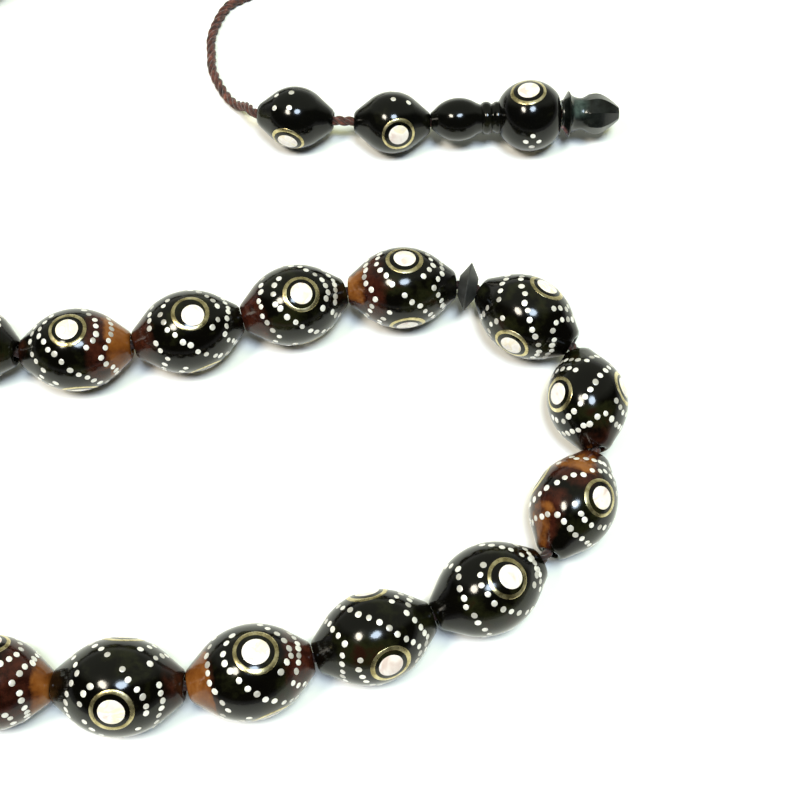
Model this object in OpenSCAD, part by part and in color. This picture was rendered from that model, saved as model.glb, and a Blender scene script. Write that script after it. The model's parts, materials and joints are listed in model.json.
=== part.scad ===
// Misbaha: a strand of thirty-three inlaid olive beads in three runs of eleven,
// with two bicone separators, a turned imam and a corded tail, lying on a table.
// Millimetres, +Z up. The origin is the centre of the strand's footprint on the table.

/* [Loop beads] */
// Length of a loop bead of size 1
bead_l = 14; // [13:0.5:15]
// Largest diameter of a loop bead of size 1
bead_d = 10.6; // [10:0.1:11]
// Radius of the arc that the belly of a loop bead follows
bead_arc = 7.5; // [7.4:0.1:8]
// Distance from the middle at which the belly turns into a straight taper
bead_taper = 4.8; // [4.2:0.1:5]
// Width of the small bevel round each end of a bead
bead_edge = 0.25; // [0.1:0.05:0.4]

/* [Inlays] */
// Diameter of a mother-of-pearl disc
pearl_d = 2.85; // [2.6:0.05:3.2]
// How deep a pearl disc is let in
pearl_deep = 1.2; // [1:0.1:1.4]
// Outer diameter of a brass ring
ring_d = 4.75; // [4.6:0.05:5.2]
// Width of a brass ring's wall
ring_w = 0.42; // [0.38:0.02:0.6]
// How deep a brass ring is let in
ring_deep = 1.9; // [1.6:0.1:2]
// Room for glue round each inlay
glue = 0.04; // [0.03:0.01:0.06]
// Diameter of a silver pin
pin_d = 0.75; // [0.6:0.05:0.9]
// Length of a silver pin
pin_l = 0.9; // [0.7:0.1:1.2]

/* [Cord] */
// Diameter of the twisted cord
cord_d = 1.3; // [1:0.1:1.4]
// Diameter of the hole through every bead
bore_d = 2; // [1.9:0.05:2.2]
// Gap between two beads that lie in line
bead_gap = 0.15; // [0.1:0.05:0.3]
// Spare cord between the last bead and the imam, along which a bead is counted
slack = 8; // [7:0.5:9]
// Extra cord showing between the fourteenth and fifteenth beads
open_gap = 0.7; // [0:0.1:1]

/* [Separators] */
// Thickness of a separator along the cord
sep_t = 2.4; // [2:0.1:2.6]
// Diameter of a separator's sharp rim
sep_d = 6.3; // [5.6:0.1:6.6]

/* [Tail] */
// Length of a tail bead
tail_l = 10.5; // [10:0.1:11]
// Largest diameter of a tail bead
tail_d = 8.5; // [8.4:0.1:9]
// Diameter of the ball on the tail drop
ball_d = 9.7; // [9.4:0.1:10]
// Length of cord showing between the two tail beads
tail_gap = 3; // [2.6:0.1:3.4]

/* [Hidden] */
$fn = 96;

// Hand-made beads differ a little: the size of each, in the order they are strung.
bead_size = [
    1.00, 0.98, 1.01, 0.97, 1.00, 1.02, 0.99, 1.00, 1.00, 0.98, 1.00,
    0.99, 0.95, 0.98, 1.02, 1.03, 1.04, 1.07, 1.03, 1.00, 1.01, 0.98,
    1.01, 0.97, 1.00, 0.99, 1.02, 0.98, 1.00, 0.96, 1.01, 1.00, 0.99
];
// How each bead has rolled on the cord: the angle of its first eye, 0 to the left and 90 up.
bead_roll = [
    40, 75, 100, 20, 60, 110, 95, 84, 90, 103, 71,
    49, 26, 57, 81, 35, 103, 51, 20, 85, 45, 110,
    70, 30, 95, 55, 10, 80, 115, 35, 65, 100, 50
];
// How far each bead's eyes were set from its middle, along the cord.
eye_shift = [
    0, 0.3, -0.4, 0.2, 0, 0.5, -0.2, 0, 1, 1, 0.4,
    0.65, -0.25, -0.8, -2.2, -0.7, -1.3, -0.3, 0, 0.4, -0.3, 0.2,
    0, -0.5, 0.3, 0, 0.6, -0.4, 0, 0.2, -0.6, 0.3, 0
];
// The strand as it lies: the compass heading of each piece in turn, 0 along +X and 90 along +Y.
heading = [
    -148, -130, -113, -98, -83, -50, -14, 5, 15.5, 16.5, 3.5,
    -11,
    -34, -83, -117, -153, -161, -167, -180, -184, -194, -207, -220,
    -231,
    -241, -250, -257, -264, -272, -282, -296, -314, -337, -364, -392
];
// Where the first bead starts, and the places in the list that the separators take.
strand_start = [-2.85, 52.06];
sep_at = [11, 23];
// The imam's base and heading, and the heights of the turned pieces' axes.
imam_base = [1, 52.6];
imam_heading = -20;
imam_z = 4.3;
imam_l = 25.5;
strand_offset = 0.67;
// The tail: where its first bead starts, the heading of each of its pieces, and for the
// first three the angle of the first eye and how far its eyes and its pins were set along the cord.
tail_start = [22.95, 13.2];
tail_heading = [-5.5, -1.5, 3.5, 1];
tail_roll = [180, 150, 76];
eye_along = [-0.6, 0.95, -0.5];
pins_along = [-1.5, 1.2, -0.2];
drop_l = 17.7;
drop_gap = 0.15;
finial_gap = 0.4;

pieces = len(heading);
function is_sep(i) = i == sep_at[0] || i == sep_at[1];
function bead_index(i) = i - (i > sep_at[0] ? 1 : 0) - (i > sep_at[1] ? 1 : 0);
function size_of(i) = bead_size[bead_index(i)];
function length_of(i) = is_sep(i) ? sep_t : bead_l * size_of(i);
// The radius of the flat on a piece's end, which sets how far apart two turned pieces sit.
function face_of(i) = is_sep(i) ? 0.9 : 1.45;
function height_of(i) = is_sep(i) ? (height_of(i - 1) + height_of(i + 1)) / 2 : bead_d / 2 * size_of(i);
function way(a) = [cos(a), sin(a)];
function gap_after(i) = bead_gap + (i == 14 ? open_gap : 0)
    + (face_of(i) + face_of(i + 1)) * tan(abs(heading[i + 1] - heading[i]) / 2);
function next_start(i, p) = i + 1 >= pieces ? p
    : p + length_of(i) * way(heading[i]) + gap_after(i) / 2 * (way(heading[i]) + way(heading[i + 1]));
starts = [for (i = 0, p = strand_start; i < pieces; p = next_start(i, p), i = i + 1) p];
function middle(i) = starts[i] + length_of(i) / 2 * way(heading[i]);
function end_of(i) = starts[i] + length_of(i) * way(heading[i]);
function at_height(p, z) = [p[0], p[1], z];

// Where the cord turns between one piece and the next.
function turn_after(i) = at_height(end_of(i) + gap_after(i) / 2 * way(heading[i]),
    (height_of(i) + height_of(i + 1)) / 2);

// The tail's pieces in turn: two beads, the drop and the finial.
tail_len = [tail_l, tail_l, drop_l, 8];
tail_between = [tail_gap, drop_gap, finial_gap];
tail_z = [tail_d / 2, tail_d / 2, ball_d / 2, ball_d / 2];
function tail_next(i, p) = i > 2 ? p
    : p + tail_len[i] * way(tail_heading[i])
        + tail_between[i] / 2 * (way(tail_heading[i]) + way(tail_heading[i + 1]));
tail_starts = [for (i = 0, p = tail_start; i < 4; p = tail_next(i, p), i = i + 1) p];
function tail_turn(i) = at_height(
    tail_starts[i] + (tail_len[i] + tail_between[i] / 2) * way(tail_heading[i]),
    (tail_z[i] + tail_z[i + 1]) / 2);

// A point of the imam's own frame: along its axis and to the left of it.
function imam_point(along, left) = at_height(
    imam_base + along * way(imam_heading) + left * way(imam_heading + 90), imam_z);

// The free part of the tail cord, from the imam's tip to the first tail bead.
free_route = [
    [28, 42.8, 3.6], [30, 42.8, 2.5], [32, 42.9, 1.5], [34, 42.8, 0.9], [35.9, 42, 0.65],
    [36.7, 40.1, 0.65], [35.9, 38.2, 0.65], [34, 37.5, 0.65], [31.6, 37.8, 0.65], [29, 38.6, 0.65],
    [26.4, 39, 0.65], [23.8, 38.4, 0.65], [21.2, 37.4, 0.65], [18.7, 36.1, 0.65], [17.1, 35, 0.65],
    [16.3, 33.6, 0.65], [15.6, 31.8, 0.65], [15, 29.7, 0.65], [14.9, 28.1, 0.65], [15.2, 26.1, 0.65],
    [15.2, 24.3, 0.65], [15.7, 22.6, 0.65], [16.7, 20.5, 0.65], [17.7, 18.8, 0.65], [18.7, 17.6, 0.8],
    [19.5, 16.8, 1.2], [20.3, 16.1, 2.1], [21, 15.3, 3.2], [21.6, 14.4, 4]
];

// ---- shapes ----

// A round bar swept along a route, as one closed solid with eight sides.
function unit(v) = v / norm(v);
function tangent(p, i) = unit(p[min(i + 1, len(p) - 1)] - p[max(i - 1, 0)]);
function ring_at(p, i, r) = let(
        t = tangent(p, i),
        side = unit(cross([0, 0, 1], t)),
        up = cross(t, side)
    ) [for (k = [0:7]) p[i] + r * (cos(45 * k + 22.5) * side + sin(45 * k + 22.5) * up)];

module swept(p, r) {
    n = len(p);
    polyhedron(
        points = [for (i = [0:n - 1]) each ring_at(p, i, r)],
        faces = concat(
            [[for (k = [0:7]) 7 - k]],
            [for (i = [0:n - 2], k = [0:7]) [
                8 * i + k, 8 * i + (k + 1) % 8, 8 * (i + 1) + (k + 1) % 8, 8 * (i + 1) + k
            ]],
            [[for (k = [0:7]) 8 * (n - 1) + k]]
        )
    );
}

// The half outline of an olive: an arc at the belly and a straight taper to each end.
module olive_outline(l, r, arc, taper) {
    run = sqrt(arc * arc - taper * taper);
    join = r - arc + run;
    tip = join - taper / run * (l / 2 - taper);
    intersection() {
        translate([r - arc, 0]) circle(arc);
        translate([0, -taper]) square([r, 2 * taper]);
    }
    polygon([
        [0, -l / 2], [tip - bead_edge, -l / 2], [tip, bead_edge - l / 2], [join, -taper],
        [join, taper], [tip, l / 2 - bead_edge], [tip - bead_edge, l / 2], [0, l / 2]
    ]);
}

module loop_olive(k) {
    rotate_extrude() olive_outline(bead_l * k, bead_d / 2 * k, bead_arc * k, bead_taper * k);
}

module tail_olive() {
    rotate_extrude() olive_outline(tail_l, tail_d / 2, 4.9, 3.1);
}

module bore(l) {
    translate([0, 0, -l]) cylinder(h = 2 * l, d = bore_d);
}

// Puts a piece that stands along Z on the cord: its axis runs along the heading.
module lie(at, angle) {
    translate(at) rotate([0, 0, angle]) rotate([0, 90, 0]) children();
}

// Points a child, which stands along Z from the cord, out of the side of a piece.
module outwards(angle, along) {
    rotate([0, 0, angle + 90]) translate([0, 0, along]) rotate([0, 90, 0]) children();
}

// The tubes and plugs that an eye's ring and pearl are cut from, for a surface at radius r.
module ring_tube(r, k, room) {
    translate([0, 0, r - ring_deep * k - room]) difference() {
        cylinder(h = 2 * ring_deep, d = ring_d * k + 2 * room);
        translate([0, 0, -1]) cylinder(h = 2 * ring_deep + 2, d = (ring_d - 2 * ring_w) * k - 2 * room);
    }
}

module pearl_plug(r, k, room) {
    translate([0, 0, r - pearl_deep * k - room]) cylinder(h = 2 * pearl_deep, d = pearl_d * k + 2 * room);
}

module pin_plug(r, room) {
    translate([0, 0, r - pin_l - room]) cylinder(h = 2 * pin_l, d = pin_d + 2 * room, $fn = 24);
}

// ---- loop beads and separators ----

module loop_bead(n) {
    i = n - 1 + (n > 11 ? 1 : 0) + (n > 22 ? 1 : 0);
    k = size_of(i);
    r = bead_d / 2 * k;
    color("#1d1812") lie(at_height(middle(i), r), heading[i]) {
        difference() {
            loop_olive(k);
            bore(bead_l);
            for (a = [0, 120, 240]) outwards(bead_roll[n - 1] + a, eye_shift[n - 1]) {
                ring_tube(r, k, glue);
                pearl_plug(r, k, glue);
            }
        }
        intersection() {
            loop_olive(k);
            for (a = [0, 120, 240]) outwards(bead_roll[n - 1] + a, eye_shift[n - 1]) {
                ring_tube(r, k, 0);
                pearl_plug(r, k, 0);
            }
        }
    }
}

module separator(n) {
    i = sep_at[n - 1];
    color("#34363a") lie(at_height(middle(i), height_of(i)), heading[i]) difference() {
        rotate_extrude() polygon([
            [0, -sep_t / 2], [1.3, -sep_t / 2], [sep_d / 2, -0.05], [sep_d / 2, 0.05],
            [1.3, sep_t / 2], [0, sep_t / 2]
        ]);
        bore(sep_t);
    }
}

// ---- imam ----

// Its belly's middle and radius, from which its eyes and pins are set.
imam_belly = 9;
imam_r = imam_z;
imam_eye = 0.84;

module imam_solid() {
    rotate_extrude() {
        translate([0, imam_belly]) olive_outline(14, imam_r, 7.3, 4.6);
        translate([1.5, 1.3]) circle(1.1);
        polygon([[0, 0], [2, 0], [2.2, 1.2], [2, 2.6], [2, 4.6], [0, 4.6]]);
        translate([1.7, 16.4]) circle(1);
        translate([1.4, 18.3]) circle(0.9);
        translate([0, 21.6]) olive_outline(6.6, 2.3, 4.2, 2);
        polygon([[0, 14], [1.9, 14], [1.7, 19.5], [1.5, imam_l - 0.3], [1.3, imam_l], [0, imam_l]]);
    }
}

module imam_eyes() {
    for (a = [90, 210, 330]) outwards(a, imam_belly) children();
}

// A row of pins round each end of the belly.
module imam_pin_rows(room) {
    for (side = [-1, 1], a = [0:30:330])
        outwards(a, imam_belly + side * 3.6) pin_plug(3.45, room);
}

module imam() {
    color("#181512") lie(imam_point(0, 0), imam_heading) difference() {
        imam_solid();
        translate([0, 0, -1]) cylinder(h = 11, d = 3.2);
        bore(imam_l + 1);
        imam_eyes() {
            ring_tube(imam_r, imam_eye, glue);
            pearl_plug(imam_r, imam_eye, glue);
        }
        imam_pin_rows(glue);
    }
}

module imam_pearls() {
    color("#f3e9e4") lie(imam_point(0, 0), imam_heading) intersection() {
        imam_solid();
        imam_eyes() pearl_plug(imam_r, imam_eye, 0);
    }
}

module imam_rings() {
    color("#b3924d") lie(imam_point(0, 0), imam_heading) intersection() {
        imam_solid();
        imam_eyes() ring_tube(imam_r, imam_eye, 0);
    }
}

module imam_pins() {
    color("#e8e6e2") lie(imam_point(0, 0), imam_heading) intersection() {
        imam_solid();
        imam_pin_rows(0);
    }
}

// ---- cords and knots ----

module loop_cord() {
    first = starts[0] - 0.5 * way(heading[0]);
    last = end_of(pieces - 1) + slack * way(heading[pieces - 1]);
    route = concat(
        [imam_point(8.5, -strand_offset), imam_point(-0.6, -strand_offset)],
        [at_height(first, height_of(0))],
        [for (i = [0:pieces - 2]) turn_after(i)],
        [at_height(last, height_of(pieces - 1))],
        [imam_point(-0.6, strand_offset), imam_point(8.5, strand_offset)]
    );
    color("#5a3429") swept(route, cord_d / 2);
}

module tail_cord() {
    into_finial = tail_starts[3] + 1.8 * way(tail_heading[3]);
    route = concat(
        [imam_point(10, 0), imam_point(imam_l + 1.6, 0)],
        free_route,
        [at_height(tail_start - 0.7 * way(tail_heading[0]), tail_z[0])],
        [for (i = [0:2]) tail_turn(i)],
        [at_height(into_finial, tail_z[3])]
    );
    color("#4a2c22") swept(route, cord_d / 2);
}

// A knot is a short barrel round the cord.
module imam_knot() {
    color("#4a2c22") lie(imam_point(imam_l + 1, 0), imam_heading) difference() {
        rotate_extrude() intersection() {
            circle(1.45);
            translate([0, -0.9]) square([2, 1.8]);
        }
        bore(2);
    }
}

module end_knot() {
    middle_of_knot = tail_starts[3] + 2.9 * way(tail_heading[3]);
    color("#4a2c22") lie(at_height(middle_of_knot, tail_z[3]), tail_heading[3])
        translate([0, 0, -1]) cylinder(h = 2, r = 1.1);
}

// ---- tail ----

tail_eye = 0.97;
ball_eye = 1.04;

module tail_bead_eyes(n) {
    for (a = [0, 180]) outwards(tail_roll[n - 1] + a, eye_along[n - 1]) children();
}

// Four pins in a square on each side of a tail bead, between its eyes.
module tail_bead_pins_at(n, room) {
    for (a = [90, 270], across = [-17, 17], along = [-15, 15])
        outwards(tail_roll[n - 1] + a, pins_along[n - 1])
            rotate([across, along, 0]) pin_plug(tail_d / 2 - 0.4, room);
}

module in_tail_bead(n) {
    place = tail_starts[n - 1] + tail_l / 2 * way(tail_heading[n - 1]);
    lie(at_height(place, tail_d / 2), tail_heading[n - 1]) children();
}

module tail_bead(n) {
    color("#171513") in_tail_bead(n) difference() {
        tail_olive();
        bore(tail_l);
        tail_bead_eyes(n) {
            ring_tube(tail_d / 2, tail_eye, glue);
            pearl_plug(tail_d / 2, tail_eye, glue);
        }
        tail_bead_pins_at(n, glue);
    }
}

module tail_bead_pearls(n) {
    color("#f3e9e4") in_tail_bead(n) intersection() {
        tail_olive();
        tail_bead_eyes(n) pearl_plug(tail_d / 2, tail_eye, 0);
    }
}

module tail_bead_rings(n) {
    color("#b3924d") in_tail_bead(n) intersection() {
        tail_olive();
        tail_bead_eyes(n) ring_tube(tail_d / 2, tail_eye, 0);
    }
}

module tail_bead_pins(n) {
    color("#e8e6e2") in_tail_bead(n) intersection() {
        tail_olive();
        tail_bead_pins_at(n, 0);
    }
}

// The drop is one turned piece: an olive, two collars and a ball with a flat end.
ball_at = 13.8;

module drop_solid() {
    rotate_extrude() intersection() {
        union() {
            intersection() {
                translate([-1.55, 3.8]) circle(4.5);
                square([4, 6.4]);
            }
            translate([1.3, 7.7]) circle(0.95);
            translate([1.55, 9.2]) circle(0.65);
            translate([0, ball_at]) circle(ball_d / 2);
            polygon([[0, 0], [1.1, 0], [1.9, 1], [1.9, 10], [0, 10]]);
        }
        square([6, drop_l]);
    }
}

module in_drop() {
    lie(at_height(tail_starts[2], tail_z[2]), tail_heading[2]) children();
}

module drop_eyes() {
    for (a = [0, 180]) outwards(tail_roll[2] + a, ball_at + eye_along[2]) children();
}

// Four pins in a diamond on each side of the ball, between its eyes.
module drop_pins_at(room) {
    for (a = [96, 276], side = [-1, 1]) outwards(tail_roll[2] + a, ball_at + pins_along[2]) {
        rotate([14 * side, 0, 0]) pin_plug(ball_d / 2, room);
        rotate([0, 11 * side, 0]) pin_plug(ball_d / 2, room);
    }
}

module tail_drop() {
    color("#141312") in_drop() difference() {
        drop_solid();
        bore(drop_l + 1);
        drop_eyes() {
            ring_tube(ball_d / 2, ball_eye, glue);
            pearl_plug(ball_d / 2, ball_eye, glue);
        }
        drop_pins_at(glue);
    }
}

module tail_drop_pearls() {
    color("#f3e9e4") in_drop() intersection() {
        drop_solid();
        drop_eyes() pearl_plug(ball_d / 2, ball_eye, 0);
    }
}

module tail_drop_rings() {
    color("#b3924d") in_drop() intersection() {
        drop_solid();
        drop_eyes() ring_tube(ball_d / 2, ball_eye, 0);
    }
}

module tail_drop_pins() {
    color("#e8e6e2") in_drop() intersection() {
        drop_solid();
        drop_pins_at(0);
    }
}

// The finial: a sharp-edged disc, a waist and a bulb, with a blind hole for the end knot.
module finial() {
    color("#2b2e2e") lie(at_height(tail_starts[3], tail_z[3]), tail_heading[3]) difference() {
        rotate_extrude() {
            polygon([
                [0, 0], [1.9, 0], [2, 0.3], [3.1, 0.95], [3.1, 1.1], [2.5, 1.6], [2.2, 2.4],
                [2.2, 3.1], [2.6, 3.8], [2.7, 4.5], [2.7, 5.3], [2.2, 6.4], [1.1, 7.8], [0.95, 8], [0, 8]
            ]);
        }
        translate([0, 0, -1]) cylinder(h = 5.2, d = 2.6);
    }
}

// ---- nodes ----

for (n = [1:33]) {
    name = str("bead_", n < 10 ? "0" : "", n);
    loop_bead(n);
}
for (n = [1, 2]) {
    separator(n);
    tail_bead(n);
    tail_bead_pearls(n);
    tail_bead_rings(n);
    tail_bead_pins(n);
}
imam();
imam_pearls();
imam_rings();
imam_pins();
loop_cord();
tail_cord();
imam_knot();
end_knot();
tail_drop();
tail_drop_pearls();
tail_drop_rings();
tail_drop_pins();
finial();
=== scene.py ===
"""The looks of the misbaha: turned black beads with pearl, brass and silver inlay, and a twisted cord.

Sizes below are in millimetres, in the part's own frame, and become metres when a mesh is made.
"""

import json
import math
import random

import bpy
import numpy as np
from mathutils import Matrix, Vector


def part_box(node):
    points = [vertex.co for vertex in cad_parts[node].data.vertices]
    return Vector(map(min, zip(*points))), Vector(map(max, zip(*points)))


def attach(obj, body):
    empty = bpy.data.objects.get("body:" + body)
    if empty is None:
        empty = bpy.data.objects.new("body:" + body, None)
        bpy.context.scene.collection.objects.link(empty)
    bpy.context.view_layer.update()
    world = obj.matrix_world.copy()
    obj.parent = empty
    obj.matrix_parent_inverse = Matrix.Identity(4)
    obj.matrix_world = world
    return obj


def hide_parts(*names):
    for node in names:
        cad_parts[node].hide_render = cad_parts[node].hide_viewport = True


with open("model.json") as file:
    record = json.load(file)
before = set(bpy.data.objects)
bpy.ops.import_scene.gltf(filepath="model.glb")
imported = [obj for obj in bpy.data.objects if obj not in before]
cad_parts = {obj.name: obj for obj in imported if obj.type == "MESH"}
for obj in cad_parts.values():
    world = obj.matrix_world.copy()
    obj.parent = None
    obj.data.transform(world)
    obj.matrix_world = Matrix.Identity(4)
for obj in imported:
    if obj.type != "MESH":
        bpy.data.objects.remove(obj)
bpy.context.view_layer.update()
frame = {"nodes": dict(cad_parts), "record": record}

MM = 0.001
Z_UP = np.array([0.0, 0.0, 1.0])


# ---------------------------------------------------------------- camera and cords' routes

def point(x, y, z):
    return np.array([x, y, z], dtype=float)


def unit(v):
    return v / np.linalg.norm(v)


def way(degrees):
    a = math.radians(degrees)
    return point(math.cos(a), math.sin(a), 0)


def next_place(place, length, gap, heading, height):
    """Where the tail's next piece starts: one half of the gap runs on, the other follows the new heading."""
    start, before = place
    start = start + length * way(before) + gap / 2 * (way(before) + way(heading))
    return point(start[0], start[1], height), heading


# What the camera looks at, how steeply it looks down, and from how far.
TARGET = point(42.73, -28.13, 0)
CAMERA_TILT = math.radians(68)
CAMERA_DISTANCE = 163.2
CAMERA_AT = TARGET + CAMERA_DISTANCE * point(0, -math.cos(CAMERA_TILT), math.sin(CAMERA_TILT))

BORE_R = 1.0
BEVEL = 0.22

IMAM_BASE = point(1, 52.6, 4.3)
IMAM_WAY = -20
IMAM_LENGTH = 25.5

# The tail's pieces: where each starts, and its heading.
TAIL_BEAD_LENGTH = 10.5
TAIL_BEAD_R = 4.25
TAIL_DROP_LENGTH = 17.7
TAIL_BALL_R = 4.85
TAIL_BEAD_1 = (point(22.95, 13.2, TAIL_BEAD_R), -5.5)
TAIL_BEAD_2 = next_place(TAIL_BEAD_1, TAIL_BEAD_LENGTH, 3, -1.5, TAIL_BEAD_R)
TAIL_DROP = next_place(TAIL_BEAD_2, TAIL_BEAD_LENGTH, 0.15, 3.5, TAIL_BALL_R)
FINIAL = next_place(TAIL_DROP, TAIL_DROP_LENGTH, 0.4, 1, TAIL_BALL_R)

# The tail cord's way over the table, from the imam's tip to the first tail bead.
FREE_ROUTE = [
    (28, 42.8, 3.6), (30, 42.8, 2.5), (32, 42.9, 1.5), (34, 42.8, 0.9), (35.9, 42, 0.65),
    (36.7, 40.1, 0.65), (35.9, 38.2, 0.65), (34, 37.5, 0.65), (31.6, 37.8, 0.65), (29, 38.6, 0.65),
    (26.4, 39, 0.65), (23.8, 38.4, 0.65), (21.2, 37.4, 0.65), (18.7, 36.1, 0.65), (17.1, 35, 0.65),
    (16.3, 33.6, 0.65), (15.6, 31.8, 0.65), (15, 29.7, 0.65), (14.9, 28.1, 0.65), (15.2, 26.1, 0.65),
    (15.2, 24.3, 0.65), (15.7, 22.6, 0.65), (16.7, 20.5, 0.65), (17.7, 18.8, 0.65), (18.7, 17.6, 0.8),
    (19.5, 16.8, 1.2), (20.3, 16.1, 2.1), (21, 15.3, 3.2), (21.6, 14.4, 4),
]


def make_camera():
    data = bpy.data.cameras.new("camera")
    data.sensor_width = 36
    data.lens = 56.25
    data.clip_start = 0.01
    data.clip_end = 10
    camera = bpy.data.objects.new("camera", data)
    camera.location = Vector(CAMERA_AT * MM)
    camera.rotation_mode = "QUATERNION"
    camera.rotation_quaternion = Vector((TARGET - CAMERA_AT)).to_track_quat("-Z", "Y")
    bpy.context.scene.collection.objects.link(camera)
    bpy.context.scene.camera = camera


make_camera()


# ---------------------------------------------------------------- the strand's pieces, from the record

JOINTS = {j["child"]: j for j in frame["record"]["behaviour"]["joints"]}


def spot_of(node):
    """The place of a piece's middle, on the axis of its joint."""
    joint = JOINTS[node]
    if "pos_m" in joint:
        middle = np.array(joint["pos_m"]) / MM
    else:
        low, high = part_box(node)
        middle = (np.array(low) + np.array(high)) / 2 / MM
    return spot_at(middle, np.array(joint["axis"], dtype=float))


def spot_at(origin, axis):
    """A place with its axis, and the directions to its left and up."""
    axis = unit(axis)
    left = unit(np.cross(Z_UP, axis))
    return origin, axis, left, np.cross(axis, left)


BEADS = [f"bead_{n:02d}" for n in range(1, 34)]
BEAD_LENGTH = 14
BEAD_R = 5.3

# Each bead's size, the roll of its first eye, and how far its eyes sit along it, as in the CAD.
SIZE = [
    1.00, 0.98, 1.01, 0.97, 1.00, 1.02, 0.99, 1.00, 1.00, 0.98, 1.00,
    0.99, 0.95, 0.98, 1.02, 1.03, 1.04, 1.07, 1.03, 1.00, 1.01, 0.98,
    1.01, 0.97, 1.00, 0.99, 1.02, 0.98, 1.00, 0.96, 1.01, 1.00, 0.99,
]
ROLL = [
    40, 75, 100, 20, 60, 110, 95, 84, 90, 103, 71,
    49, 26, 57, 81, 35, 103, 51, 20, 85, 45, 110,
    70, 30, 95, 55, 10, 80, 115, 35, 65, 100, 50,
]
SHIFT = [
    0, 0.3, -0.4, 0.2, 0, 0.5, -0.2, 0, 1, 1, 0.4,
    0.65, -0.25, -0.8, -2.2, -0.7, -1.3, -0.3, 0, 0.4, -0.3, 0.2,
    0, -0.5, 0.3, 0, 0.6, -0.4, 0, 0.2, -0.6, 0.3, 0,
]


# ---------------------------------------------------------------- meshes

def mesh_object(name, points, faces, material, body, sharp=None, values=None):
    """A mesh that rides on a body: sharp is the edge angle in degrees, values are numbers per point."""
    mesh = bpy.data.meshes.new(name)
    mesh.from_pydata((np.asarray(points) * MM).tolist(), [], faces)
    mesh.update()
    mesh.shade_smooth()
    if sharp:
        mesh.set_sharp_from_angle(angle=math.radians(sharp))
    for key, data in (values or {}).items():
        layer = mesh.attributes.new(key, "FLOAT", "POINT")
        layer.data.foreach_set("value", np.asarray(data, dtype=np.float32))
    mesh.materials.append(material)
    thing = bpy.data.objects.new(name, mesh)
    bpy.context.scene.collection.objects.link(thing)
    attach(thing, body)
    return thing


def ring_faces(rows, sides, closed):
    """The faces between rings of points, and between the last ring and the first if it is closed."""
    faces = []
    for i in range(rows if closed else rows - 1):
        n = (i + 1) % rows
        for j in range(sides):
            k = (j + 1) % sides
            faces.append((i * sides + j, i * sides + k, n * sides + k, n * sides + j))
    return faces


def turned(name, spot, rows, material, body, sharp=38, paint=None, squared=None):
    """A turned piece: rows are (along, radius) round its closed section."""
    sides = 96
    origin, axis, left, up = spot
    angle = np.arange(sides) * 2 * math.pi / sides
    ring = np.cos(angle)[:, None] * left + np.sin(angle)[:, None] * up
    points = []
    for along, radius in rows:
        scale = squared(along, angle)[:, None] if squared else 1
        points.append(origin + along * axis + radius * scale * ring)
    values = None
    if paint:
        along = np.repeat([a for a, r in rows], sides)
        values = paint(along, np.tile(np.degrees(angle), len(rows)))
    return mesh_object(
        name, np.vstack(points), ring_faces(len(rows), sides, True), material, body, sharp, values)


def section(outline, bore, length):
    """Closes an outline, from the first end to the last, through the bore."""
    last = outline[-1][0]
    first = outline[0][0]
    mouth = bore + 0.18
    depth = 0.12
    inner = [(last, mouth), (last - depth, bore)]
    inner += [(last - t * length / 6, bore) for t in range(1, 6)]
    inner += [(first + depth, bore), (first, mouth)]
    return list(outline) + inner


def radius_from(outline):
    """The outline's radius, as a function of the place along it."""
    along = np.array([a for a, r in outline])
    radius = np.array([r for a, r in outline])
    return lambda a: np.interp(a, along, radius)


def on_surface(spot, radius_at, roll, along, across, lift):
    """Points that lie on a turned surface, as seen straight down at the given roll."""
    origin, axis, left, up = spot
    c = math.cos(math.radians(roll))
    s = math.sin(math.radians(roll))
    out = c * left + s * up
    side = c * up - s * left
    radius = radius_at(along) + lift
    height = np.sqrt(np.maximum(radius ** 2 - across ** 2, 0))
    return origin + along[:, None] * axis + across[:, None] * side + height[:, None] * out


def disc_points(spot, radius_at, roll, along, rings, sides, wobble=0.0, phase=0.0, stretch=1.0):
    """Rings of points round a spot on a turned surface: each ring is a radius and a lift."""
    reach = 0.2
    slope = (radius_at(along + reach) - radius_at(along - reach)) / (2 * reach)
    flat = 1 / math.sqrt(1 + slope * slope)
    angle = np.arange(sides) * 2 * math.pi / sides
    made = []
    for radius, lift in rings:
        r = radius * (1 + wobble * np.sin(2 * angle + phase))
        a = along + flat * r * np.cos(angle) * stretch
        made.append(on_surface(spot, radius_at, roll, a, r * np.sin(angle), lift))
    return made


def cap_mesh(rings):
    """Points and faces of a low dome: the first ring is the outer edge, the last is next to the middle."""
    sides = len(rings[0])
    points = np.vstack([*rings, rings[-1].mean(0)[None]])
    faces = ring_faces(len(rings), sides, False)
    top = len(points) - 1
    base = (len(rings) - 1) * sides
    faces += [(base + j, base + (j + 1) % sides, top) for j in range(sides)]
    return points, faces


def band_mesh(rings):
    """Points and faces of an open band."""
    sides = len(rings[0])
    return np.vstack(rings), ring_faces(len(rings), sides, False)


def joined(parts):
    """Several lots of points and faces as one."""
    points = []
    faces = []
    base = 0
    for p, f in parts:
        points.append(p)
        faces += [tuple(i + base for i in face) for face in f]
        base += len(p)
    return np.vstack(points), faces


# ---------------------------------------------------------------- inlay

PEARL_R = 1.425
PIN_R = 0.375
# The inner and outer radius of a brass ring.
BEAD_RING = (1.93, 2.39)
TAIL_RING = (1.96, 2.37)

# How one S of pins runs from the left of one eye to the right of the next: degrees round, along.
S_CURVE = [
    (-34, -2.3), (-27, -2.85), (-17, -3.4), (-5, -3.65), (8, -3.5), (18, -3.05), (28, -2.45),
    (37, -1.8), (46, -1.15), (55, -0.45), (63, 0.3), (71, 1.05), (79, 1.8), (88, 2.45), (98, 3),
    (109, 3.4), (121, 3.6), (133, 3.4), (143, 2.85), (150, 2.3),
]


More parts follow.
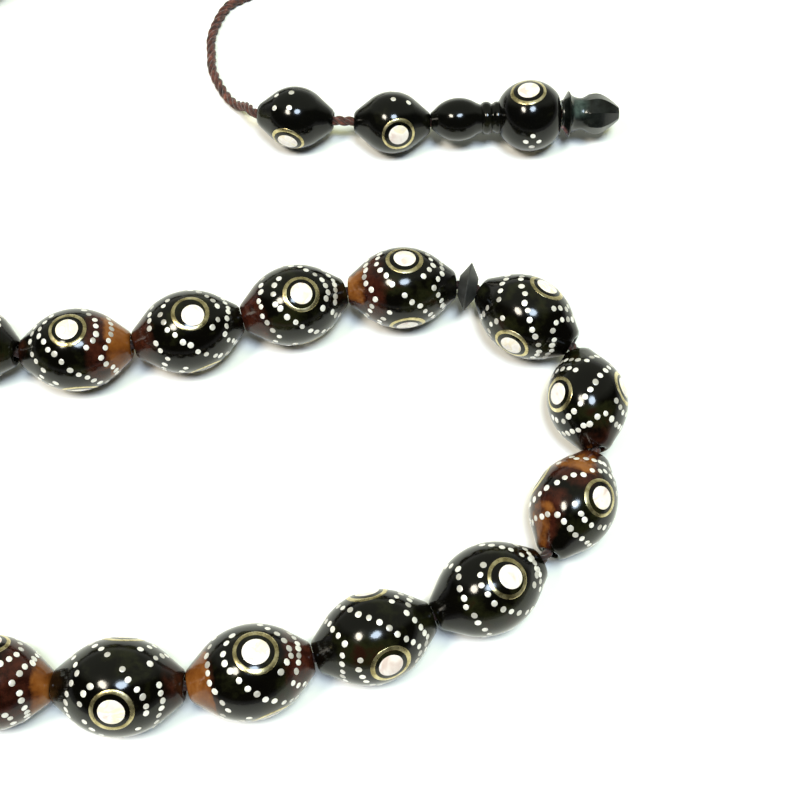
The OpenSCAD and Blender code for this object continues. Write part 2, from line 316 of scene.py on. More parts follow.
def s_pins(k):
    """Evenly stepped pins along the S, as degrees round and millimetres along."""
    turn = np.array([t for t, a in S_CURVE], dtype=float)
    along = np.array([a for t, a in S_CURVE]) * k
    pins_r = 4.9
    round_mm = np.radians(turn) * pins_r * k
    steps = np.hypot(np.diff(round_mm), np.diff(along))
    run = np.concatenate([[0], np.cumsum(steps)])
    at = np.linspace(0, run[-1], 17)
    return np.interp(at, run, turn), np.interp(at, run, along)


def row_pins(side):
    """The wavy row near an end: it swells outwards beside each eye and turns in between them."""
    turn = np.arange(24) * 15 + 3
    lean = 5 if side < 0 else -9
    swell = np.abs(np.cos(np.radians(1.5 * (turn - lean)))) ** 0.75
    return turn, side * (3.6 + 1.45 * swell)


def pin_parts(spot, radius_at, places, rng):
    """The pins as points, faces, and a dullness for each point."""
    parts = []
    dull = []
    for roll, along in places:
        r = PIN_R * rng.uniform(0.9, 1.1)
        rings = [(r, -0.1), (r, 0.008), (0.85 * r, 0.028), (0.45 * r, 0.04)]
        parts.append(cap_mesh(disc_points(
            spot, radius_at, roll, along, rings, 14,
            wobble=rng.uniform(0, 0.07), phase=rng.uniform(0, 6), stretch=rng.uniform(0.95, 1.05))))
        dull += [max(0.0, rng.uniform(-0.6, 0.75))] * len(parts[-1][0])
    return *joined(parts), dull


def pins_object(name, pins, body):
    points, faces, dull = pins
    return mesh_object(name, points, faces, SILVER, body, 50, {"dull": dull})


def pearl_parts(spot, radius_at, rolls, along, scale, rng, nudge=(0, 0)):
    """Pearl discs, all nudged by so much along the piece and so many degrees round it."""
    r = PEARL_R * scale
    rings = [(r, -0.15), (r, 0.005), (0.97 * r, 0.02), (0.75 * r, 0.025), (0.4 * r, 0.03), (0.05 * r, 0.03)]
    parts = []
    for roll in rolls:
        a = along + nudge[0] + rng.uniform(-0.06, 0.06)
        parts.append(cap_mesh(disc_points(
            spot, radius_at, roll + nudge[1] + rng.uniform(-0.8, 0.8), a, rings, 40,
            wobble=0.01, phase=rng.uniform(0, 6))))
    return parts


def ring_parts(spot, radius_at, rolls, along, radii, scale, rng):
    """Brass rings, from the outer edge over the top to the inner edge, each a little out of round."""
    inner, outer = (r * scale for r in radii)
    wide = outer - inner
    outer_rows = [(outer, -0.12), (outer, 0.004), (outer - 0.15 * wide, 0.016), (inner + 0.5 * wide, 0.024)]
    inner_rows = [(inner + 0.15 * wide, 0.016), (inner, 0.004), (inner, -0.12)]
    parts = []
    for roll in rolls:
        phase = rng.uniform(0, 6)
        outer_side = disc_points(spot, radius_at, roll, along, outer_rows, 56, wobble=0.012, phase=phase)
        inner_side = disc_points(spot, radius_at, roll, along, inner_rows, 56, wobble=0.02, phase=phase + 2)
        parts.append(band_mesh(outer_side + inner_side))
    return parts


# ---------------------------------------------------------------- materials

def colour(r, g, b):
    return (r, g, b, 1.0)


def fill_ramp(ramp, stops):
    """Gives a colour ramp its stops, each a place and a colour."""
    while len(ramp.elements) < len(stops):
        ramp.elements.new(0.5)
    for element, (at, rgba) in zip(ramp.elements, stops):
        element.position = at
        element.color = rgba


class Nodes:
    """A short way to build a material out of nodes."""

    def __init__(self, name):
        self.material = bpy.data.materials.new(name)
        self.material.use_nodes = True
        self.tree = self.material.node_tree
        self.shader = self.tree.nodes["Principled BSDF"]
        self.where = self.tree.nodes.new("ShaderNodeTexCoord").outputs["Object"]

    def link(self, a, b):
        self.tree.links.new(a, b)

    def noise(self, scale, detail=3.0, rough=0.55, vector=None, distortion=0.0):
        n = self.tree.nodes.new("ShaderNodeTexNoise")
        n.inputs["Scale"].default_value = scale
        n.inputs["Detail"].default_value = detail
        n.inputs["Roughness"].default_value = rough
        n.inputs["Distortion"].default_value = distortion
        self.link(vector or self.where, n.inputs["Vector"])
        return n.outputs["Fac"]

    def value(self, name):
        """The values that mesh_object was given under this name."""
        n = self.tree.nodes.new("ShaderNodeAttribute")
        n.attribute_name = name
        return n.outputs["Fac"]

    def ramp(self, source, stops):
        n = self.tree.nodes.new("ShaderNodeValToRGB")
        fill_ramp(n.color_ramp, stops)
        self.link(source, n.inputs["Fac"])
        return n.outputs["Color"]

    def remap(self, source, low, high, to_low, to_high):
        n = self.tree.nodes.new("ShaderNodeMapRange")
        n.clamp = True
        n.inputs["From Min"].default_value = low
        n.inputs["From Max"].default_value = high
        n.inputs["To Min"].default_value = to_low
        n.inputs["To Max"].default_value = to_high
        self.link(source, n.inputs["Value"])
        return n.outputs["Result"]

    def total(self, a, b):
        n = self.tree.nodes.new("ShaderNodeMath")
        n.operation = "ADD"
        self.link(a, n.inputs[0])
        self.link(b, n.inputs[1])
        return n.outputs["Value"]

    def mix(self, factor, a, b):
        n = self.tree.nodes.new("ShaderNodeMix")
        n.data_type = "RGBA"
        for socket, item in ((n.inputs["Factor"], factor), (n.inputs["A"], a), (n.inputs["B"], b)):
            if isinstance(item, (int, float, tuple)):
                socket.default_value = item
            else:
                self.link(item, socket)
        return n.outputs["Result"]

    def bump(self, height, strength, distance):
        n = self.tree.nodes.new("ShaderNodeBump")
        n.inputs["Strength"].default_value = strength
        n.inputs["Distance"].default_value = distance
        self.link(height, n.inputs["Height"])
        self.link(n.outputs["Normal"], self.shader.inputs["Normal"])

    def put(self, socket, item):
        if isinstance(item, (int, float, tuple)):
            self.shader.inputs[socket].default_value = item
        else:
            self.link(item, self.shader.inputs[socket])


def bead_material():
    """Black horn that turns red-brown and amber towards some ends."""
    n = Nodes("bead_black")
    mottle = n.noise(260, 4, 0.6)
    fine = n.noise(900, 3, 0.6)
    base = n.ramp(mottle, [
        (0.3, colour(0.001, 0.0008, 0.0006)), (0.5, colour(0.0016, 0.0014, 0.0008)),
        (0.62, colour(0.008, 0.0085, 0.003)), (0.75, colour(0.012, 0.004, 0.002))])
    edge = n.total(n.remap(mottle, 0.25, 0.75, -0.28, 0.28), n.remap(fine, 0.3, 0.7, -0.06, 0.06))
    red = n.remap(n.total(n.value("red"), edge), 0.42, 0.95, 0, 1)
    amber = n.remap(n.total(n.value("amber"), edge), 0.4, 0.66, 0, 1)
    reddish = n.ramp(fine, [(0.3, colour(0.014, 0.003, 0.002)), (0.7, colour(0.045, 0.011, 0.006))])
    golden = n.ramp(mottle, [
        (0.3, colour(0.06, 0.015, 0.004)), (0.5, colour(0.14, 0.044, 0.008)),
        (0.72, colour(0.24, 0.095, 0.028))])
    n.put("Base Color", n.mix(amber, n.mix(red, base, reddish), golden))
    n.put("Roughness", n.remap(fine, 0.3, 0.7, 0.09, 0.15))
    n.put("IOR", 1.38)
    n.bump(mottle, 0.25, 0.00012)
    return n.material


def tail_material():
    n = Nodes("tail_black")
    mottle = n.noise(300, 4, 0.6)
    n.put("Base Color", n.ramp(mottle, [
        (0.3, colour(0.0012, 0.0012, 0.0012)), (0.55, colour(0.002, 0.002, 0.0015)),
        (0.68, colour(0.008, 0.008, 0.004))]))
    n.put("Roughness", n.remap(n.noise(900), 0.3, 0.7, 0.09, 0.15))
    n.put("IOR", 1.38)
    n.bump(mottle, 0.25, 0.00012)
    return n.material


def charcoal_material():
    n = Nodes("charcoal")
    grain = n.noise(1500, 4, 0.7)
    n.put("Base Color", n.ramp(grain, [
        (0.3, colour(0.012, 0.0125, 0.0125)), (0.7, colour(0.034, 0.035, 0.035))]))
    n.put("Roughness", n.remap(grain, 0.3, 0.7, 0.45, 0.65))
    n.bump(grain, 0.3, 0.00006)
    return n.material


def finial_material():
    """Black, with a pink patch low on the collar, and a painted highlight that turns the top of the waist
    grey.
    """
    n = Nodes("finial_black")
    grain = n.noise(900, 4, 0.6)
    black = n.ramp(grain, [(0.3, colour(0.0015, 0.0018, 0.0016)), (0.7, colour(0.008, 0.01, 0.009))])
    # painted highlight: a lighter teal grey for the lit top of the waist
    painted_waist_highlight = n.ramp(grain, [(0.3, colour(0.012, 0.02, 0.019)), (0.7, colour(0.06, 0.085, 0.08))])
    pink = n.ramp(grain, [(0.35, colour(0.16, 0.07, 0.07)), (0.6, colour(0.42, 0.2, 0.21))])
    n.put("Base Color", n.mix(n.value("pink"), n.mix(n.value("painted_waist_highlight"), black, painted_waist_highlight), pink))
    n.put("Roughness", n.remap(grain, 0.3, 0.7, 0.16, 0.26))
    n.put("IOR", 1.4)
    n.bump(grain, 0.25, 0.00006)
    return n.material


def pearl_material():
    n = Nodes("mother_of_pearl")
    cloud = n.noise(420, 2, 0.5, distortion=1.0)
    fine = n.noise(1600, 3, 0.6)
    tint = n.ramp(cloud, [
        (0.3, colour(0.57, 0.44, 0.42)), (0.4, colour(0.72, 0.64, 0.63)), (0.5, colour(0.8, 0.75, 0.74)),
        (0.58, colour(0.73, 0.63, 0.47)), (0.68, colour(0.61, 0.55, 0.58))])
    grain = n.ramp(fine, [(0.35, colour(0.6, 0.5, 0.48)), (0.6, colour(0.92, 0.92, 0.92))])
    n.put("Base Color", n.mix(0.12, tint, grain))
    n.put("Roughness", n.remap(cloud, 0.3, 0.7, 0.16, 0.3))
    n.put("Coat Weight", 0.4)
    n.put("Coat Roughness", 0.1)
    return n.material


def brass_material():
    n = Nodes("ring_brass")
    wear = n.noise(700, 3, 0.6)
    n.put("Base Color", n.ramp(wear, [
        (0.3, colour(0.22, 0.18, 0.08)), (0.55, colour(0.5, 0.43, 0.23)), (0.75, colour(0.8, 0.72, 0.48))]))
    n.put("Metallic", 0.9)
    n.put("Roughness", n.remap(wear, 0.3, 0.7, 0.2, 0.36))
    n.bump(n.noise(2500), 0.3, 0.00003)
    return n.material


def silver_material():
    """Silver wire ends: the value on each pin dulls some of them."""
    n = Nodes("pin_silver")
    wear = n.noise(1300, 3, 0.6)
    bright = n.ramp(wear, [(0.32, colour(0.6, 0.57, 0.55)), (0.5, colour(0.82, 0.8, 0.78))])
    n.put("Base Color", n.mix(n.value("dull"), bright, colour(0.25, 0.23, 0.21)))
    n.put("Metallic", 0.3)
    n.put("Roughness", n.remap(wear, 0.3, 0.7, 0.3, 0.45))
    n.bump(n.noise(3000), 0.3, 0.00003)
    return n.material


def cord_material(name, dark, light, fleck):
    """Twisted threads: the values along and round each ply give the fibres their run."""
    n = Nodes(name)
    joiner = n.tree.nodes.new("ShaderNodeCombineXYZ")
    n.link(n.value("along"), joiner.inputs["X"])
    n.link(n.value("round"), joiner.inputs["Y"])
    threads = n.noise(3.0, 3, 0.6, vector=joiner.outputs["Vector"])
    fuzz = n.noise(1400, 3, 0.7)
    run = n.ramp(threads, [(0.42, dark), (0.68, light)])
    fibres = n.ramp(fuzz, [(0.42, dark), (0.62, light), (0.72, fleck)])
    n.put("Base Color", n.mix(0.5, run, fibres))
    n.put("Roughness", 0.82)
    n.put("Sheen Weight", 0.25)
    n.bump(threads, 0.8, 0.00012)
    return n.material


BEAD = bead_material()
TAIL = tail_material()
CHARCOAL = charcoal_material()
FINIAL_BLACK = finial_material()
PEARL = pearl_material()
BRASS = brass_material()
SILVER = silver_material()
LOOP_CORD = cord_material(
    "loop_cord", colour(0.005, 0.002, 0.0015), colour(0.07, 0.02, 0.015), colour(0.2, 0.08, 0.06))
TAIL_CORD = cord_material(
    "tail_cord", colour(0.006, 0.002, 0.001), colour(0.17, 0.045, 0.028), colour(0.55, 0.27, 0.2))


# ---------------------------------------------------------------- outlines

def bow(middle, lift, radius, low, high, count):
    """Rows along an arc, evenly by its angle in radians, where 0 is its outermost point."""
    angles = np.linspace(low, high, count)
    return [(middle + radius * math.sin(t), lift + radius * math.cos(t)) for t in angles]


def belly(middle, lift, radius, start, stop, count):
    """Rows along an arc, evenly by the place along the piece."""
    places = np.linspace(start, stop, count)
    return [(a, lift + math.sqrt(radius ** 2 - (a - middle) ** 2)) for a in places]


def olive(length, radius, arc, taper, edge):
    """The outline of an olive, from one end to the other: an arc, a straight taper and a bevel."""
    run = math.sqrt(arc * arc - taper * taper)
    join = radius - arc + run
    tip = join - taper / run * (length / 2 - taper)
    half = belly(0, radius - arc, arc, 0, taper, 34)
    for t in (0.25, 0.5, 0.75, 1):
        a = taper + t * (length / 2 - edge - taper)
        half.append((a, join - taper / run * (a - taper)))
    half.append((length / 2 - 0.3 * edge, tip - 0.3 * edge))
    half.append((length / 2, tip - edge))
    return [(-a, r) for a, r in reversed(half)] + half[1:]


# Where a bead's horn turns light: bead, end, from how far out, over what depth, roll, spread, strength, kind.
PATCHES = [
    (8, 1, 2.8, 2.6, 90, 400, 0.85, "amber"), (8, 1, 0.8, 2.2, 90, 400, 0.95, "red"),
    (8, -1, 3.8, 2.5, 90, 400, 0.6, "red"),
    (9, -1, 2.6, 2.6, 90, 400, 0.85, "red"),
    (10, -1, 2.4, 2.4, 90, 400, 0.9, "red"),
    (11, -1, 3.6, 1.6, 110, 70, 0.58, "amber"), (11, -1, 0.8, 2.5, 90, 400, 0.95, "red"),
    (13, 1, 5.2, 1.4, 130, 40, 0.66, "amber"), (13, 1, 3.2, 2.4, 90, 400, 0.62, "red"),
    (14, -1, -0.8, 2.2, 135, 80, 0.95, "red"), (14, -1, 0.6, 2.4, 128, 66, 0.54, "amber"),
    (14, 1, -0.6, 1.6, 140, 62, 0.95, "red"), (14, 1, 1.2, 1.6, 138, 44, 0.56, "amber"),
    (17, 1, 3.9, 0.8, 70, 90, 0.95, "amber"), (17, 1, 2.9, 1.6, 90, 400, 0.85, "red"),
    (17, -1, 3.2, 1.8, 90, 400, 0.95, "red"),
    (18, 1, 3.4, 3.0, 90, 400, 0.4, "red"), (18, -1, 3.8, 2.2, 90, 400, 0.65, "red"),
    (19, -1, 4.7, 1.2, 70, 110, 0.75, "amber"), (19, -1, 0.8, 2.0, 90, 400, 0.85, "red"),
    (3, 1, 3, 2, 40, 120, 0.9, "amber"), (5, -1, 2.5, 2.5, 90, 400, 0.85, "red"),
    (21, 1, 2.6, 2, 200, 130, 0.9, "amber"), (24, -1, 2.2, 2.4, 90, 400, 0.9, "red"),
    (27, 1, 3, 2, 60, 110, 0.9, "amber"), (29, -1, 2, 2.4, 90, 400, 0.85, "red"),
    (31, 1, 3.2, 1.8, 120, 120, 0.8, "amber"), (33, 1, 2.4, 2.4, 90, 400, 0.85, "red"),
]
# Over how many degrees a patch fades out beside its spread.
PATCH_FADE = 30


def bead_paint(number):
    """How amber and how red a bead's horn is, from its middle and its roll."""
    def paint(along, angle):
        values = {"amber": np.zeros(len(along)), "red": np.zeros(len(along))}
        for bead, end, start, depth, roll, spread, strength, kind in PATCHES:
            if bead != number:
                continue
            reach = np.clip((end * along - start) / depth, 0, 1)
            off = np.abs((angle - roll + 180) % 360 - 180)
            window = np.clip((spread - off) / PATCH_FADE, 0, 1)
            values[kind] = np.maximum(values[kind], strength * reach * window)
        return values
    return paint


# ---------------------------------------------------------------- loop beads

# Beads whose pearls sit off the middle of their rings: along the bead, degrees round.
NUDGE = {9: (0.3, 5)}
# Beads whose rings are set further along than their pearls.
RING_SHIFT = {15: 0.45}
# Beads whose eyes are larger than their size gives.
WIDER = {17: 1.06}
# How much longer a bead is than its CAD solid, so that neighbours all but touch.
BEAD_OVER = 0.11
# The share of a bead's pins that has fallen out, how far the others stray, and how far out they go.
LOST = 0.02
STRAY_DEGREES = 1.1
STRAY_ALONG = 0.09
PIN_LIMIT = 5.75


def bead_pin_places(k, rolls, along, rng):
    """Where the pins of a loop bead of size k sit, as roll and millimetres along."""
    places = []
    for roll in rolls:
        for turn, a in zip(*s_pins(k)):
            places.append((roll + turn, a + along))
    for side in (-1, 1):
        for turn, a in zip(*row_pins(side)):
            places.append((rolls[0] + turn, a * k + 0.6 * along))
    limit = PIN_LIMIT * k
    kept = []
    for roll, a in places:
        if rng.random() < LOST:
            continue
        roll += rng.gauss(0, STRAY_DEGREES)
        a += rng.gauss(0, STRAY_ALONG)
        kept.append((roll, max(-limit, min(limit, a))))
    return kept


def loop_bead(number):
    node = BEADS[number - 1]
    k = SIZE[number - 1]
    rng = random.Random(100 + number)
    spot = spot_of(node)
    length = BEAD_LENGTH * k + BEAD_OVER
    outline = olive(length, BEAD_R * k, 7.5 * k, 4.8 * k, BEVEL)
    radius_at = radius_from(outline)
    rows = section(outline, BORE_R, length)
    shell = turned(node + "_shell", spot, rows, BEAD, node, paint=bead_paint(number))
    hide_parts(node)

    along = SHIFT[number - 1]
    rolls = [ROLL[number - 1] + t for t in (0, 120, 240)]
    eye = k * WIDER.get(number, 1)
    discs = joined(pearl_parts(spot, radius_at, rolls, along, eye, rng, NUDGE.get(number, (0, 0))))
    pearls = mesh_object(node + "_pearls", *discs, PEARL, node, 50)
    rings_along = along + RING_SHIFT.get(number, 0)
    bands = joined(ring_parts(spot, radius_at, rolls, rings_along, BEAD_RING, eye, rng))
    rings = mesh_object(node + "_rings", *bands, BRASS, node, 60)
    places = bead_pin_places(k, rolls, along, rng)
    pins = pins_object(node + "_pins", pin_parts(spot, radius_at, places, rng), node)


for number in range(1, len(BEADS) + 1):
    loop_bead(number)


# ---------------------------------------------------------------- separators

SEPARATOR_HALF = 1.2


def separator(node):
    """Two shallow cones, base to base, with a worn edge."""
    outline = [(-SEPARATOR_HALF, 1.3), (-0.06, 3.12), (0, 3.15), (0.06, 3.12), (SEPARATOR_HALF, 1.3)]
    rows = section(outline, BORE_R, 2 * SEPARATOR_HALF)
    made = turned(node + "_disc", spot_of(node), rows, CHARCOAL, node, sharp=25)
    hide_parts(node)


separator("separator_1")
separator("separator_2")


# ---------------------------------------------------------------- tail

def inlaid(node, spot, radius_at, along, rolls, scale, pin_places, rng, body):
    """Adds pearls, rings and pins to a piece of the tail, in place of its CAD ones."""
    discs = joined(pearl_parts(spot, radius_at, rolls, along, scale, rng))
    pearls = mesh_object(node + "_pearl_discs", *discs, PEARL, body, 50)
    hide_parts(node + "_pearls")
    bands = joined(ring_parts(spot, radius_at, rolls, along, TAIL_RING, scale, rng))
    rings = mesh_object(node + "_brass_rings", *bands, BRASS, body, 60)
    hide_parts(node + "_rings")
    pins = pins_object(node + "_silver_pins", pin_parts(spot, radius_at, pin_places, rng), body)
    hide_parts(node + "_pins")


def square(roll, along, radius):
    """Four pins in a square on each side, a quarter turn from the eyes."""
    half_round = 1.27
    half_along = 1.05
    turn = math.degrees(half_round / radius)
    return [(roll + side + across * turn, along + lengthways * half_along)
            for side in (90, 270) for across in (-1, 1) for lengthways in (-1, 1)]


def diamond(roll, along, radius):
    """Four pins in a diamond on each side, about a quarter turn from the eyes."""
    half_round = 1.1
    half_along = 0.9
    turn = math.degrees(half_round / radius)
    places = []
    for side in (96, 276):
        places += [(roll + side + turn, along), (roll + side - turn, along)]
        places += [(roll + side, along + half_along), (roll + side, along - half_along)]
    return places


def tail_bead(node, place, roll, eye, pins, seed):
    """A small olive: eye and pins say how far those sit from its middle, along it."""
    start, heading = place
    spot = spot_at(start + TAIL_BEAD_LENGTH / 2 * way(heading), way(heading))
    length = TAIL_BEAD_LENGTH + 0.1
    outline = olive(length, TAIL_BEAD_R, 4.9, 3.1, BEVEL)
    made = turned(node + "_shell", spot, section(outline, BORE_R, length), TAIL, node)
    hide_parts(node)
    inlaid(node, spot, radius_from(outline), eye, [roll, roll + 180], 0.97,
           square(roll, pins, TAIL_BEAD_R), random.Random(seed), node)


def tail_drop(place, roll, eye, pins):
    """An olive, two collars and a ball in one piece: eye and pins are counted from the ball's middle."""
    start, heading = place
    spot = spot_at(start, way(heading))
    ball = 13.8
    outline = [(0, 1.1), (0.3, 1.35)]
    outline += belly(3.8, -1.55, 4.5, 0.6, 6.35, 22)
    outline += bow(7.7, 1.3, 0.95, -0.9, 0.9, 10)
    outline += bow(9.2, 1.55, 0.65, -0.85, 0.8, 8)
    outline += bow(ball, 0, TAIL_BALL_R, -1.1, 0.92, 36)
    outline += [(TAIL_DROP_LENGTH, 2.88)]
    rows = section(outline, BORE_R, TAIL_DROP_LENGTH)
    made = turned("tail_drop_body", spot, rows, TAIL, "tail_drop", sharp=30)
    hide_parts("tail_drop")
    inlaid("tail_drop", spot, radius_from(outline), ball + eye, [roll, roll + 180], 1.04,
           diamond(roll, ball + pins, TAIL_BALL_R), random.Random(53), "tail_drop")


def finial(place):
    """A sharp-edged disc, a waist and a bulb, with a blind hole for the cord's knot."""
    start, heading = place
    spot = spot_at(start, way(heading))
    outline = [
        (0, 1.9), (0.3, 2), (0.95, 3.1), (1.02, 3.14), (1.1, 3.1), (1.35, 2.7), (1.7, 2.42), (2.2, 2.24),
        (2.7, 2.17), (3.1, 2.22), (3.5, 2.42), (3.9, 2.6), (4.4, 2.69), (4.9, 2.72), (5.4, 2.66), (5.9, 2.45),
        (6.5, 2.12), (7.1, 1.7), (7.7, 1.2), (8, 0.95),
    ]

    def eight_sides(along, angle):
        """The bulb is cut with eight flats, which fade out towards the waist."""
        amount = min(1.0, max(0.0, (along - 2.9) / 0.9))
        step = math.pi / 4
        flat = math.cos(step / 2) / np.cos((angle + 0.2) % step - step / 2)
        return 1 + amount * (flat * 1.02 - 1)

    def pink_patch_and_painted_highlight(along, angle):
        """A pink patch low on the collar, and a painted highlight: the top of the waist made a lighter grey
        where light falls on it.
        """
        low = np.clip((32 - np.abs((angle - 205 + 180) % 360 - 180)) / 12, 0, 1)
        # painted highlight: the upward-facing top of the waist, lighter where light falls on it
        top = np.clip((48 - np.abs((angle - 95 + 180) % 360 - 180)) / 25, 0, 1)
        collar = np.clip((0.9 - along) / 0.3, 0, 1)
        waist = np.clip((along - 1.2) / 0.5, 0, 1) * np.clip((3.7 - along) / 0.8, 0, 1)
        return {"pink": low * collar, "painted_waist_highlight": top * waist}

    hole_depth = 4.2
    hole_r = 1.3
    rows = outline + [(7.99, 0.02), (hole_depth, 0.02), (hole_depth, hole_r), (0, hole_r)]
    made = turned(
        "finial_body", spot, rows, FINIAL_BLACK, "strand", sharp=22, squared=eight_sides, paint=pink_patch_and_painted_highlight)
    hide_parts("finial")


tail_bead("tail_bead_1", TAIL_BEAD_1, 180, -0.6, -1.5, 51)
tail_bead("tail_bead_2", TAIL_BEAD_2, 150, 0.95, 1.2, 52)
tail_drop(TAIL_DROP, 76, -0.5, -0.2)
finial(FINIAL)


# ---------------------------------------------------------------- imam

def imam():
    """The long turned piece that closes the loop: a base ring, a belly with the eyes, collars and a tip."""
    spot = spot_at(IMAM_BASE, way(IMAM_WAY))
    middle = 9
    outline = [(0, 2), (0.35, 2.2)]
    outline += bow(1.3, 1.5, 1.1, -0.9, 0.95, 10)
    outline += [(2.6, 2), (4.4, 2)]
    outline += belly(middle, -3, 7.3, 4.5, 13.5, 34)
    outline += [(13.6, 1.92), (15.4, 1.86)]
    outline += bow(16.4, 1.7, 1, -1.3, 1.3, 10)
    outline += bow(18.3, 1.4, 0.9, -0.9, 0.9, 8)
    outline += belly(21.6, -1.9, 4.2, 19.7, 23.4, 16)
    outline += [(24, 1.6), (25.2, 1.5), (IMAM_LENGTH, 1.3)]
    made = turned("imam_body", spot, section(outline, BORE_R, IMAM_LENGTH), TAIL, "strand", sharp=30)
    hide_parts("imam")
    places = [(90 + turn, middle + side * 3.6) for side in (-1, 1) for turn in range(0, 360, 30)]
    inlaid("imam", spot, radius_from(outline), middle, [90, 210, 330], 0.84, places,
           random.Random(54), "strand")


imam()


# ---------------------------------------------------------------- cords

def smooth_path(points, step, spread):
    """Even steps along a route, with its corners rounded off."""
    points = np.array(points, dtype=float)
    first = points[0] + (points[0] - points[1])
    last = points[-1] + (points[-1] - points[-2])
    points = np.vstack([first, points, last])
    lengths = np.linalg.norm(np.diff(points, axis=0), axis=1)
    run = np.concatenate([[0], np.cumsum(lengths)])
    at = np.arange(0, run[-1], step)
    line = np.stack([np.interp(at, run, points[:, i]) for i in range(3)], axis=1)
    reach = int(4 * spread / step)
    kernel = np.exp(-0.5 * (np.arange(-reach, reach + 1) * step / spread) ** 2)
    kernel /= kernel.sum()
    soft = np.stack([np.convolve(line[:, i], kernel, "same") for i in range(3)], axis=1)
    inside = (at >= lengths[0]) & (at <= run[-1] - lengths[-1])
    return soft[inside]


def twisted(name, line, plies, ply_r, offset, pitch, material, sides=10):
    """Plies wound round a line, as one mesh."""
    lengths = np.linalg.norm(np.diff(line, axis=0), axis=1)
    run = np.concatenate([[0], np.cumsum(lengths)])
    along = np.gradient(line, axis=0)
    along /= np.linalg.norm(along, axis=1)[:, None]
    side = np.cross(Z_UP, along)
    side /= np.linalg.norm(side, axis=1)[:, None]
    up = np.cross(along, side)
    parts = []
    values = {"along": [], "round": []}
    angle = np.arange(sides) * 2 * math.pi / sides
    for ply in range(plies):
        turn = 2 * math.pi * (run / pitch + ply / plies)
        centre = line + offset * (np.cos(turn)[:, None] * side + np.sin(turn)[:, None] * up)
        rings = []
        for j in range(sides):
            a = angle[j] + turn
            rings.append(centre + ply_r * (np.cos(a)[:, None] * side + np.sin(a)[:, None] * up))
        rings = np.stack(rings, axis=1)
        rows = len(line)
        faces = ring_faces(rows, sides, False)
        faces.append(tuple(reversed(range(sides))))
        faces.append(tuple((rows - 1) * sides + j for j in range(sides)))
        parts.append((rings.reshape(-1, 3), faces))
        values["along"] += (np.repeat(run, sides) * 0.35 + 9 * ply).tolist()
        values["round"] += np.tile(3.5 * np.arange(sides) / sides, rows).tolist()
    points, faces = joined(parts)
    return mesh_object(name, points, faces, material, "strand", values=values)


# How far the strand's two ends lie from the imam's axis, and the spare cord after the last bead.
STRAND_OFFSET = 0.67
SPARE_CORD = 8


def imam_point(along, left):
    return IMAM_BASE + along * way(IMAM_WAY) + left * way(IMAM_WAY + 90)


def loop_cord():
    """The cord runs straight through each bead and turns in the gap between two."""
    order = BEADS[:11] + ["separator_1"] + BEADS[11:22] + ["separator_2"] + BEADS[22:]
    spots = [spot_of(node) for node in order]
    half = [BEAD_LENGTH / 2 * SIZE[BEADS.index(n)] if n in BEADS else SEPARATOR_HALF for n in order]
    starts = [s[0] - h * s[1] for s, h in zip(spots, half)]
    ends = [s[0] + h * s[1] for s, h in zip(spots, half)]
    route = [imam_point(8.5, -STRAND_OFFSET), imam_point(-0.6, -STRAND_OFFSET)]
    route += [starts[0] - 0.5 * spots[0][1]]
    route += [(ends[i] + starts[i + 1]) / 2 for i in range(len(order) - 1)]
    route += [ends[-1] + SPARE_CORD * spots[-1][1]]
    route += [imam_point(-0.6, STRAND_OFFSET), imam_point(8.5, STRAND_OFFSET)]
    line = smooth_path(route, 0.3, 0.45)
    made = twisted("loop_cord_plies", line, 3, 0.34, 0.31, 3.4, LOOP_CORD, sides=8)
    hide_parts("loop_cord")


def tail_cord():
    """From inside the imam, out of its tip, over the table and through the tail to the finial's knot."""
    start, heading = TAIL_BEAD_1
    turns = []
    for (piece, its_way), length, after in (
            (TAIL_BEAD_1, TAIL_BEAD_LENGTH, TAIL_BEAD_2), (TAIL_BEAD_2, TAIL_BEAD_LENGTH, TAIL_DROP),
            (TAIL_DROP, TAIL_DROP_LENGTH, FINIAL)):
        turns.append((piece + length * way(its_way) + after[0]) / 2)
    route = [imam_point(10, 0), imam_point(IMAM_LENGTH + 1.6, 0)]
    route += [np.array(p) for p in FREE_ROUTE]
    route += [start - 0.7 * way(heading)] + turns + [FINIAL[0] + 1.8 * way(FINIAL[1])]
    line = smooth_path(route, 0.22, 0.7)
    made = twisted("tail_cord_plies", line, 3, 0.37, 0.32, 4, TAIL_CORD)
    length = float(np.linalg.norm(np.diff(line, axis=0), axis=1).sum())
    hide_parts("tail_cord")


loop_cord()
tail_cord()

for node in ("imam_knot", "end_knot"):
    mesh = frame["nodes"][node].data
    mesh.materials.clear()
    mesh.materials.append(TAIL_CORD)


# ---------------------------------------------------------------- floor, light and sky

def floor():
    n = Nodes("table_white")
    n.put("Base Color", colour(0.86, 0.86, 0.86))
    n.put("Roughness", 0.6)
    half = 1500
    points = [(-half, -half, 0), (half, -half, 0), (half, half, 0), (-half, half, 0)]
    mesh = bpy.data.meshes.new("table")
    mesh.from_pydata([tuple(c * MM for c in p) for p in points], [], [(0, 1, 2, 3)])
    mesh.materials.append(n.material)
    thing = bpy.data.objects.new("table", mesh)
    bpy.context.scene.collection.objects.link(thing)
    thing.location.z = -0.06 * MM


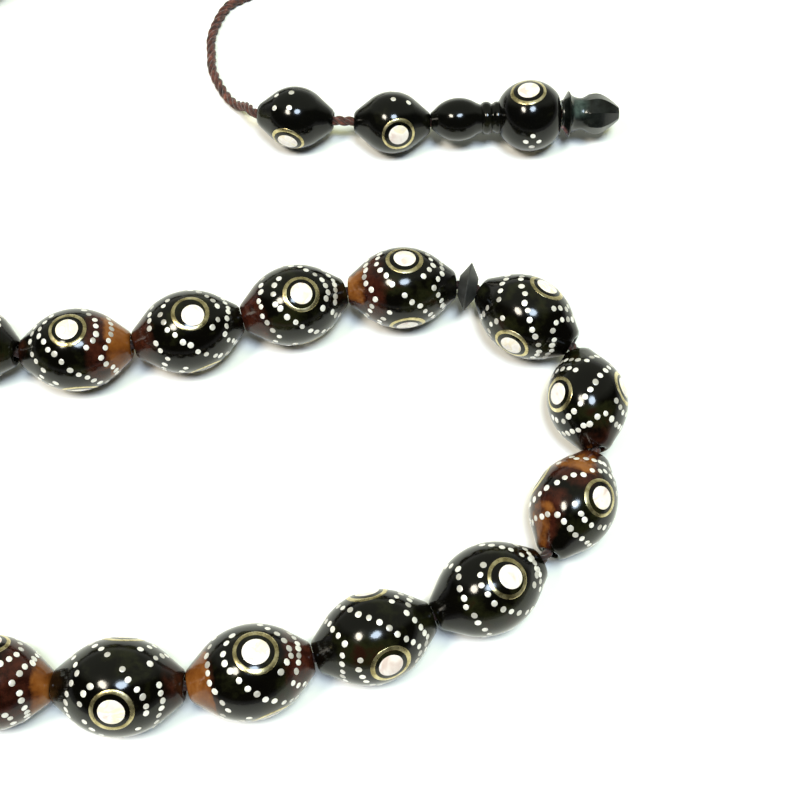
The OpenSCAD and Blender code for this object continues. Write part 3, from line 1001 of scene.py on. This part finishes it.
def lamp(name, direction, distance, width, height, power, tint, mirrored=True):
    """An oval lamp that shines at the target: mirrored says whether it shows in polished surfaces."""
    data = bpy.data.lights.new(name, "AREA")
    data.shape = "ELLIPSE"
    data.size = width * MM
    data.size_y = height * MM
    data.energy = power
    data.color = tint
    thing = bpy.data.objects.new(name, data)
    thing.location = Vector((TARGET + distance * unit(np.array(direction))) * MM)
    thing.rotation_mode = "QUATERNION"
    thing.rotation_quaternion = Vector(direction).to_track_quat("Z", "Y")
    thing.visible_glossy = mirrored
    bpy.context.scene.collection.objects.link(thing)


def sky():
    """A dim back wall and ceiling behind the strand, a pale horizon, and darkness on the near side."""
    world = bpy.data.worlds.new("sky")
    bpy.context.scene.world = world
    world.use_nodes = True
    tree = world.node_tree
    back = tree.nodes["Background"]
    where = tree.nodes.new("ShaderNodeTexCoord")

    def ramp_along(direction, stops):
        dot = tree.nodes.new("ShaderNodeVectorMath")
        dot.operation = "DOT_PRODUCT"
        dot.inputs[1].default_value = direction
        tree.links.new(where.outputs["Generated"], dot.inputs[0])
        ramp = tree.nodes.new("ShaderNodeValToRGB")
        fill_ramp(ramp.color_ramp, [(at, colour(*level)) for at, level in stops])
        tree.links.new(dot.outputs["Value"], ramp.inputs["Fac"])
        return ramp.outputs["Color"]

    horizon = ramp_along((0, 0, 1), [
        (0, (0.5, 0.5, 0.5)), (0.1, (0.3, 0.3, 0.3)), (0.2, (0.02, 0.02, 0.02)), (1, (0.01, 0.01, 0.01))])
    wall_light = (0.42, 0.44, 0.36)
    wall = ramp_along((0, 0.8, 0.6), [(0.4, (0, 0, 0)), (0.6, wall_light), (1, wall_light)])
    both = tree.nodes.new("ShaderNodeMix")
    both.data_type = "RGBA"
    both.blend_type = "ADD"
    both.inputs["Factor"].default_value = 1.0
    tree.links.new(horizon, both.inputs["A"])
    tree.links.new(wall, both.inputs["B"])
    tree.links.new(both.outputs["Result"], back.inputs["Color"])
    back.inputs["Strength"].default_value = 1.0


floor()
lamp("window_warm", (-0.42, -0.14, 0.9), 600, 185, 125, 2.8, (1.0, 0.93, 0.78))
lamp("window_cool", (0.1, -0.16, 0.98), 600, 190, 165, 3.0, (0.7, 0.84, 1.0))
lamp("overhead", (0.2, 0.02, 0.98), 700, 300, 300, 2.2, (0.98, 1.0, 0.42), mirrored=False)
sky()
bpy.context.scene.view_settings.view_transform = "Standard"
